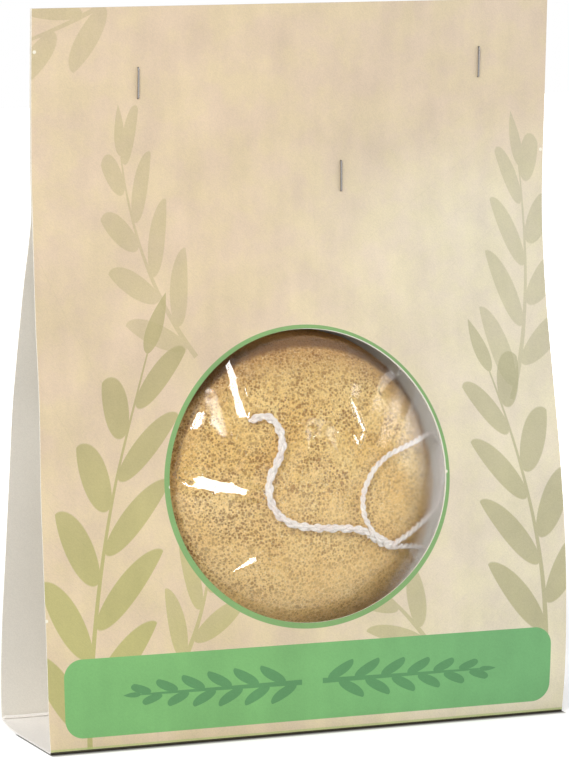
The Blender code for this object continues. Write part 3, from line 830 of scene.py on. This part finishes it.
# %% Facets and pleats of the front film
# A facet: two ends (right, up), half width at each, slopes (right, up), how far in, how flat, its edge.
# A pleat: two ends, half width, height.
to_lamp, to_side, aside_lamp, near_lamp = (-0.593, 0.39), (0.33, 0.26), (-0.3, 0.62), (-0.52, 0.43)
facets = [
    ((-0.0206, 0.1056), (-0.0192, 0.0886), 0.0006, 0.0014, to_lamp, 0.0007, 1, 0.0014),
    ((-0.0296, 0.103), (-0.0264, 0.095), 0.0008, 0.001, near_lamp, 0, 0.8, 0.0014),
    ((-0.0262, 0.0945), (-0.0243, 0.0835), 0.001, 0.0011, near_lamp, 0, 0.8, 0.0014),
    ((-0.0332, 0.0711), (-0.0162, 0.0669), 0.0023, 0.001, to_lamp, 0, 1, 0.0015),
    ((-0.035, 0.0712), (-0.0326, 0.0707), 0.0001, 0, aside_lamp, 0, 1, 0.0006),
    ((-0.0224, 0.0454), (-0.017, 0.0488), 0.0006, 0.0012, to_lamp, 0, 1, 0.001),
    ((0.0129, 0.0907), (0.0149, 0.0822), 0.0004, 0.0005, to_lamp, 0, 1, 0.0005),
    ((0.0149, 0.0814), (0.0136, 0.0784), 0.0005, 0.0004, to_lamp, 0, 1, 0.0005),
    ((0.0133, 0.0788), (0.0126, 0.0811), 0.0004, 0.0004, to_lamp, 0, 1, 0.0005),
    ((-0.0006, 0.0846), (0.005, 0.0836), 0.0022, 0.002, to_side, 0.0002, 0.9, 0.001),
    ((0.0052, 0.0826), (0.0074, 0.0766), 0.0016, 0.0003, to_side, 0.0002, 0.9, 0.0008),
    ((-0.0004, 0.083), (-0.0018, 0.0786), 0.0012, 0.0003, to_side, 0.0002, 0.9, 0.0008),
    ((0.0296, 0.099), (0.0232, 0.0925), 0.0014, 0.0008, to_side, 0, 0.9, 0.0012),
]
pleats = [
    ((-0.0325, 0.0862), (-0.033, 0.0838), 0.0022, 0.00012),
    ((-0.0276, 0.104), (-0.0244, 0.093), 0.0016, 0.0004),
    ((-0.0165, 0.112), (-0.015, 0.0985), 0.0009, 0.0006),
    ((-0.012, 0.113), (-0.0112, 0.1), 0.001, 0.0005),
    ((0.002, 0.113), (0.004, 0.096), 0.002, 0.0004),
    ((0.015, 0.111), (0.012, 0.093), 0.0016, 0.0004),
    ((0.033, 0.102), (0.025, 0.096), 0.0014, 0.0007),
    ((0.038, 0.095), (0.03, 0.085), 0.0018, 0.0004),
    ((0.0387, 0.0405), (0.0269, 0.0498), 0.001, 0.0006),
]

# %% How the front film lies
wave_height, deepest_facet = 0.0001, 0.0024
cord_clearance, cord_slope, cord_crown = 0.00015, 1.6, 0.6


def beside(x, z, first, last):
    """How far a place is from a segment, and how far along the segment it lies."""
    (x1, z1), (wide, high) = first, np.subtract(last, first)
    share = np.clip(((x - x1) * wide + (z - z1) * high) / (wide ** 2 + high ** 2), 0, 1)
    return np.hypot(x - x1 - share * wide, z - z1 - share * high), share


cord_spots = np.concatenate([np.column_stack((line[::3], np.full(len(line[::3]), half)))
                             for line, half in ((stem_line, 0.0012), (knot_line, 0.0015),
                                                (loop_line, 0.0009), (tail_line, 0.0009))])


def over_cords(x, z):
    """The depth at which the film rests on the cords, sloping off beside them."""
    rest = np.full(x.shape, 1.0)
    for spot_x, spot_y, spot_z, half in cord_spots:
        away = np.hypot(x - spot_x, z - spot_z)
        rest = np.minimum(rest, spot_y - half - cord_clearance
                          + cord_slope * np.maximum(away - cord_crown * half, 0))
    return rest


def laid_film(x, z):
    """The front film as it lies: smooth drape, gentle waves, flat facets and pleats, clear of the cords."""
    film = front_film_y(x, z)
    inside_bulge = eased(1 - pouch_reach(x, z), 0, 0.25)
    waves = np.sin(x * 420 + 90 * z) * np.sin(z * 310 - 60 * x) + 0.6 * np.sin(x * 800 - z * 530)
    film = film + wave_height * waves * inside_bulge
    for first, last, width, height in pleats:
        off, share = beside(x, z, first, last)
        ridge = np.exp(-(off / width) ** 2) * np.sin(math.pi * (0.15 + 0.7 * share))
        film = film - height * ridge * inside_bulge
    for first, last, start_half, end_half, (slope_x, slope_z), inset, fully, edge in facets:
        off, share = beside(x, z, first, last)
        half = start_half + (end_half - start_half) * share
        mid_x, mid_z = np.add(first, last) / 2
        flat = front_film_y(mid_x, mid_z) + inset + slope_x * (x - mid_x) + slope_z * (z - mid_z)
        mask = fully * (1 - eased(off, half, half + edge))
        film = film + mask * np.clip(flat - film, -deepest_facet, deepest_facet)
    return np.minimum(film, over_cords(x, z))


print(len(facets), "facets and", len(pleats), "pleats")

# %% The film's finish
# Scuffs, where the film shows the lamps as a soft glow: two ends (right, up), width, roughness.
scuffs = (
    ((-0.03, 0.104), (-0.0268, 0.095), 0.0022, 0.24), ((-0.0268, 0.096), (-0.0244, 0.083), 0.0024, 0.24),
    ((-0.017, 0.111), (-0.0158, 0.099), 0.0022, 0.22), ((-0.001, 0.0848), (0.0055, 0.0832), 0.0034, 0.23),
    ((0.0052, 0.0826), (0.0074, 0.0766), 0.0018, 0.23), ((0.0296, 0.099), (0.0232, 0.0925), 0.0022, 0.25),
)
gloss, dull, passing = 0.03, 0.25, 0.92  # roughness at the left and at the right; share of light let by


def film_finish(name, outward):
    """Clear glossy film. outward is 1 for the outer skin and -1 for the inner one, so both bend alike."""
    made, recipe, place = new_finish(name, IOR=1.3, Base_Color=(0.985, 0.98, 0.975, 1),
                                     Transmission_Weight=1)
    shadow, soft_light = recipe.node("LightPath", {}, "Is Shadow Ray", "Is Diffuse Ray")
    crinkle = recipe.speckle(recipe.stretch(place, 1, 1, 0.5), 240, 3)
    x, y, z = recipe.split(place)
    rough = recipe.ease(x, 0, 0.04, gloss, dull)
    torn = (recipe.speckle(place, 500) - 0.5) * 0.0022
    for (x1, z1), last, width, roughness in scuffs:
        right, up, wide, high = x - x1, z - z1, last[0] - x1, last[1] - z1
        share = (right * wide + up * high) / (wide ** 2 + high ** 2)
        share = recipe.calc("MINIMUM", recipe.larger(share), 1)
        off = recipe.reach(right - share * wide, up - share * high) + torn
        rough = recipe.larger(rough, recipe.ease(off, width * 0.55, width, roughness, gloss))
    recipe.paint(Alpha=1 - recipe.larger(shadow, soft_light) * passing, Roughness=rough,
                 Normal=recipe.bump(crinkle * (0.00006 * outward), 1))
    return made


clear_film, clear_film_inner = film_finish("clear_film_outer", 1), film_finish("clear_film_inner", -1)
print(nodes_in(clear_film))


# %% Film shells
def spaced(*stops):
    """Places from the first stop to the last; each stop gives where it is and the step that follows it."""
    parts = [np.linspace(low, high, round((high - low) / step) + 1)[:-1]
             for (low, step), (high, _) in zip(stops, stops[1:])]
    return np.append(np.concatenate(parts), stops[-1][0])


shell_thickness = 0.0001
left_edge, right_edge = sponge_right - pouch_half, sponge_right + pouch_half
fine_columns = spaced((left_edge, 0.002), (-0.042, 0.0005), (0.0115, 0.00024), (0.0163, 0.0005),
                      (0.044, 0.002), (right_edge, 0))
fine_rows = spaced((pouch_low, 0.002), (0.026, 0.00052), (0.077, 0.00034), (0.092, 0.0005),
                   (0.113, 0.002), (pouch_high, 0))
plain_columns, plain_rows = np.linspace(left_edge, right_edge, 59), np.linspace(pouch_low, pouch_high, 66)
for name, surface, columns, rows, node in (
        ("front_film", laid_film, fine_columns, fine_rows, "pouch_front_film"),
        ("back_film", back_film_y, plain_columns, plain_rows, "pouch_back_film")):
    made = skins(name, *np.meshgrid(columns, rows), surface, shell_thickness,
                 (clear_film, clear_film_inner, clear_film), closed=False)
    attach(made, "pouch")
    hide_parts(node)
    print(name, len(made.data.polygons), "faces")

# %% [markdown]
# The staples are bright galvanised wire, drawn through a die, so fine scratches run along them. They and
# the pouch's flat top inside the header keep their packed solids and only get their finish here, and so
# does the base, whose plain bent board has the right shape already.

# %% Staple wire, and finishes for the kept solids
wire, recipe, place = new_finish("galvanised_wire", Roughness=0.3, Metallic=1)
drawn_marks = recipe.speckle(recipe.stretch(place, 0.2, 1, 1), 9000)
recipe.paint(Base_Color=recipe.blend(drawn_marks, ink(98, 96, 96), ink(146, 144, 144)),
             Roughness=recipe.ease(drawn_marks, 0.3, 0.7, 0.22, 0.4),
             Normal=recipe.bump(drawn_marks, 0.00001))
for node, finish in (("staple_left", wire), ("staple_right", wire), ("staple_centre", wire),
                     ("base_panel", base_with_painted_fold_shade), ("pouch_header", clear_film)):
    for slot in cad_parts[node].material_slots:
        slot.material = finish
print(nodes_in(wire))

# %% [markdown]
# Plain studio light: one large soft lamp to the left of the camera, a broad dim one on the right, a low
# one behind on the left, and an even room. Objects are lit by the room at a plain level, while the camera
# and reflections see it white. Sun or point lamps would give hard shadows and no broad gloss on the film.

# %% Room
world = bpy.data.worlds.new("white_room")
bpy.context.scene.world = world
world.use_nodes = True
room = Recipe(world.node_tree)
backdrop = world.node_tree.nodes["Background"]
room.feed(backdrop.inputs, {"Color": (1, 1, 1, 1), "Strength": room.seen_rays() * 0.6 + 0.4})
print(nodes_in(world))

# %% Lamps: direction, distance, width, height, and how bright the lamp's face is
aim = Vector((0, -0.01, 0.08))
lamps = {
    "key_lamp": ((-0.62, -0.7, 0.52), 1.3, 0.25, 0.25, 42.5),
    "side_lamp": ((0.9, -0.42, 0.2), 1.5, 0.8, 0.55, 4.7),
    "low_lamp": ((-0.85, 0.2, 0.45), 1.2, 0.8, 0.5, 2.9),
}
for name, (direction, distance, wide, high, radiance) in lamps.items():
    light = bpy.data.lights.new(name, "AREA")
    light.shape = "RECTANGLE"
    light.size, light.size_y = wide, high
    light.energy = radiance * math.pi * wide * high
    lamp = new_object(name, light)
    lamp.location = aim + Vector(direction).normalized() * distance
    lamp.rotation_euler = (aim - lamp.location).to_track_quat("-Z", "Y").to_euler()
    print(name, round(light.energy, 1), "W")

# %% [markdown]
# The floor is pale and plain. It keeps the card's shadow, and a thin dark line of painted shadow where the
# base rests on it; further out it fades into the white room, so that no horizon shows.

# %% Floor
size, drop, flat_depth, end_fade = 3.0, 0.0001, 0.028, 6.0
floor_corners = [(x * size, y * size, -drop) for x, y in ((-1, -1), (1, -1), (1, 1), (-1, 1))]
floor = mesh_object("floor", floor_corners, [(0, 1, 2, 3)])
pale, recipe, place = new_finish("pale_floor", Roughness=0.9, Emission_Color=(1, 1, 1, 1))
x, y, z = recipe.split(place)
fade = recipe.ease(recipe.node("VectorMath", {0: place}, "Value", operation="LENGTH"), 0.15, 0.45)
from_foot = recipe.reach(end_fade * recipe.past(x, half_width),
                         recipe.past(y - (flat_depth / 2 - origin_y), flat_depth / 2))
# Painted contact shadow: close to the foot the floor's colour turns dark and its glow for the camera fades
# out.
clear_of_painted_contact_shadow = recipe.ease(from_foot, 0.0004, 0.0044)
recipe.paint(Base_Color=recipe.blend(clear_of_painted_contact_shadow, ink(92, 88, 84), (0.86, 0.86, 0.86, 1)),
             Emission_Strength=recipe.seen_rays() * (clear_of_painted_contact_shadow * (fade * 0.6 + 0.42)))
floor.data.materials.append(pale)
print(nodes_in(pale))

bpy.context.scene.view_settings.view_transform = "Standard"
bpy.context.view_layer.update()
